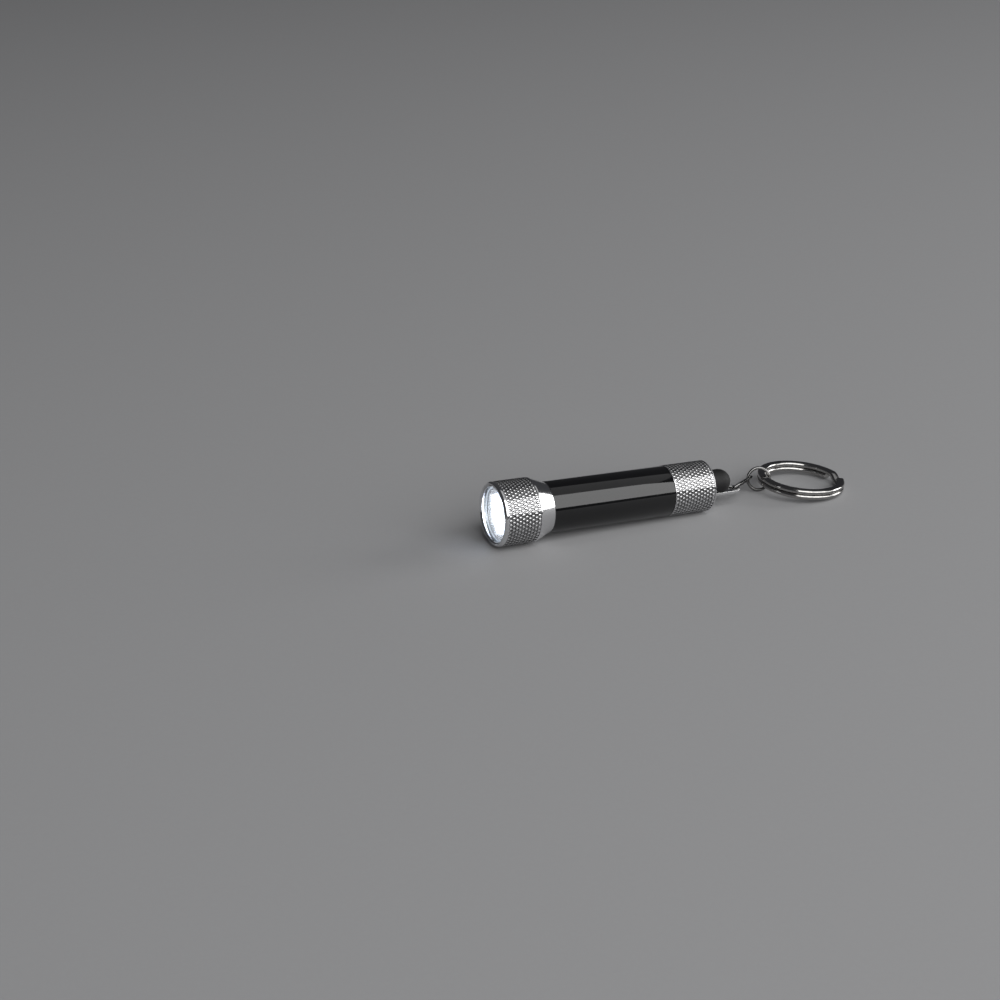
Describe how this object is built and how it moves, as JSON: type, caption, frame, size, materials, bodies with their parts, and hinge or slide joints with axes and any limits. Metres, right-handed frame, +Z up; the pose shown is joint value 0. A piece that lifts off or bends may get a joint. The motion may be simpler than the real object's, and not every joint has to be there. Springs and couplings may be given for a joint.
{
  "type": "keychain flashlight",
  "caption": "Slim knurled pocket torch with a flared head, a push button in its tail, and a chained split ring for keys.",
  "frame": {"origin": "centre of the head's front rim, where the light leaves", "axes": "+X along the flashlight's axis from the head to the tail, +Z up, +Y completes a right-handed frame; the ear for the chain is below the axis"},
  "size_m": [0.1107, 0.025, 0.0176],
  "materials": {
    "head_aluminium": "bright turned and diamond-knurled aluminium",
    "bezel_aluminium": "polished aluminium ring",
    "lens": "clear moulded acrylic",
    "reflector": "vacuum-metallised plastic, mirror bright",
    "led_epoxy": "clear epoxy, lit white",
    "lead_tin": "tinned wire",
    "board": "glass-fibre board with green mask",
    "resistor": "black chip resistor",
    "inner_plastic": "black moulded plastic",
    "white_plastic": "white moulded plastic",
    "spring_steel": "nickel-plated spring wire",
    "barrel_black": "gloss black anodised aluminium",
    "rubber": "matt black rubber",
    "cell_steel": "nickel-plated steel can",
    "cap_aluminium": "bright turned and diamond-knurled aluminium",
    "lug_steel": "bright nickel-plated steel",
    "brass": "bare brass",
    "chain_nickel": "dark bright nickel plate",
    "ring_nickel": "dark bright nickel plate"
  },
  "bodies": {
    "barrel": {"barrel": "barrel_black", "head_o_ring": "rubber", "battery_sleeve": "white_plastic", "cell_seals": "inner_plastic", "button_cell_1": "cell_steel", "button_cell_2": "cell_steel", "button_cell_3": "cell_steel", "button_cell_4": "cell_steel"},
    "lens_carriage": {"lens": "lens", "lens_seal": "rubber"},
    "head": {"head_shell": "head_aluminium", "bezel_ring": "bezel_aluminium", "reflector": "reflector", "led_1": "led_epoxy", "led_2": "led_epoxy", "led_3": "led_epoxy", "led_leads": "lead_tin", "led_spacer": "inner_plastic", "led_board": "board", "series_resistor": "resistor", "board_spring": "spring_steel"},
    "tail_carriage": {"tail_o_ring": "rubber", "negative_spring": "spring_steel"},
    "tail": {"tail_cap": "cap_aluminium", "ring_lug": "lug_steel", "boot_flange": "rubber", "switch_housing": "inner_plastic", "return_spring": "spring_steel", "switch_terminals": "brass", "contact_plate": "brass", "ground_strip": "brass", "retaining_ring": "cap_aluminium"},
    "button": {"button_dome": "rubber", "switch_plunger": "white_plastic", "contact_bridge": "brass"},
    "link": {"chain_link": "chain_nickel"},
    "jump_ring": {"jump_ring": "chain_nickel"},
    "split_ring": {"split_ring": "ring_nickel"}
  },
  "joints": [
    {"name": "head_travel", "type": "slide", "parent": "barrel", "child": "lens_carriage", "axis": [-1, 0, 0], "range_m": [0, 0.003]},
    {"name": "head_turn", "type": "hinge", "parent": "lens_carriage", "child": "head", "pos_m": [0, 0, 0], "axis": [-1, 0, 0], "range_deg": [0, 1441], "deforming": ["board_spring"]},
    {"name": "tail_travel", "type": "slide", "parent": "barrel", "child": "tail_carriage", "axis": [1, 0, 0], "range_m": [0, 0.003], "deforming": ["negative_spring"]},
    {"name": "tail_turn", "type": "hinge", "parent": "tail_carriage", "child": "tail", "pos_m": [0.052, 0, 0], "axis": [1, 0, 0], "range_deg": [0, 1441]},
    {"name": "button_press", "type": "slide", "parent": "tail", "child": "button", "axis": [-1, 0, 0], "range_m": [0, 0.0012], "stiffness_N_per_m": 800, "springref_m": -0.0004, "deforming": ["return_spring"]},
    {"name": "link_swing", "type": "hinge", "parent": "tail", "child": "link", "pos_m": [0.074, 0, -0.00235], "axis": [0, 0, 1], "range_deg": [-60, 40]},
    {"name": "jump_ring_swing", "type": "hinge", "parent": "link", "child": "jump_ring", "pos_m": [0.08309, 0.00646, -0.00286], "axis": [0.0253, 0.2002, 0.9794], "range_deg": [-50, 50]},
    {"name": "split_ring_swing", "type": "hinge", "parent": "jump_ring", "child": "split_ring", "pos_m": [0.08615, 0.0056, -0.00276], "axis": [-0.2711, -0.9417, 0.1994], "range_deg": [-75, 75]}
  ],
  "couplings": [
    {"joint": "head_turn", "follows": "head_travel", "rad_per_m": 8377.6},
    {"joint": "tail_turn", "follows": "tail_travel", "rad_per_m": 8377.6}
  ]
}
